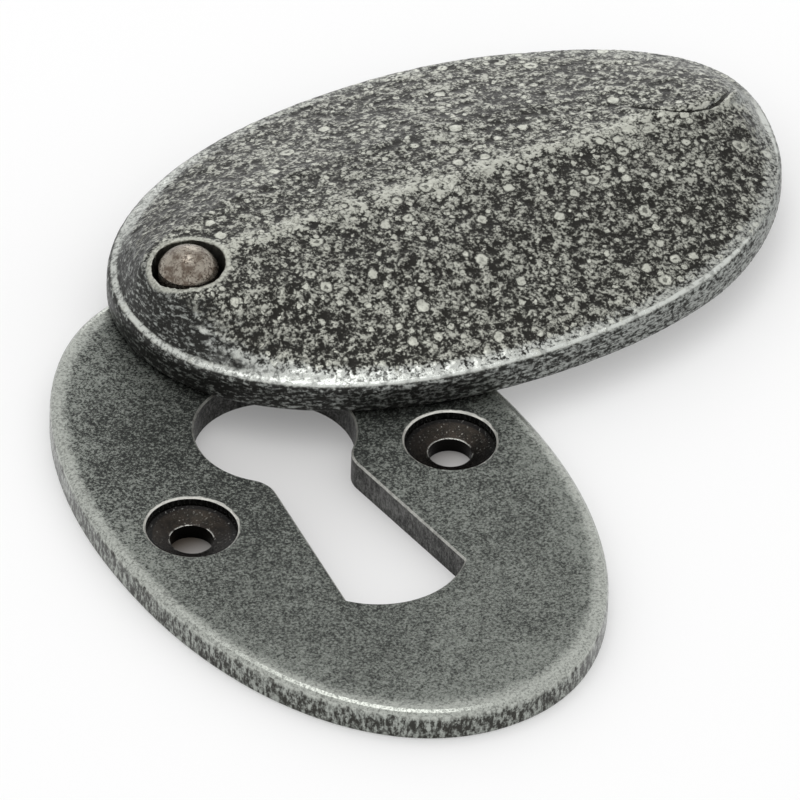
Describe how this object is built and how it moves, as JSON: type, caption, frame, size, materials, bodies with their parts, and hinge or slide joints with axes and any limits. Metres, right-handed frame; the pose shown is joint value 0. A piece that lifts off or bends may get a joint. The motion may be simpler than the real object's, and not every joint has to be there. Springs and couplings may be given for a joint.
{
  "type": "covered keyhole escutcheon",
  "caption": "Oval screw-on keyhole plate with a keyhole cut-out and a ridged oval cover that swings aside on a domed rivet",
  "frame": {"origin": "midway between the two screw holes, on the back face of the plate", "axes": "+Z out of the front face, +Y towards the rivet end of the oval plate, +X towards the side that the open cover points to"},
  "size_m": [0.0654, 0.0653, 0.0096],
  "materials": {
    "plate_metal": "fine speckled pewter patina, worn bright along the edges",
    "cover_metal": "coarse hammered and speckled pewter patina, dark in the hollows",
    "rivet_metal": "dull polished steel with small pits"
  },
  "bodies": {
    "plate": {"back_plate": "plate_metal", "pivot_rivet": "rivet_metal"},
    "cover": {"swing_cover": "cover_metal"}
  },
  "joints": [
    {"name": "cover_swing", "type": "hinge", "parent": "plate", "child": "cover", "pos_m": [0, 0.02005, 0.0024], "axis": [0, 0, 1], "continuous": true}
  ]
}
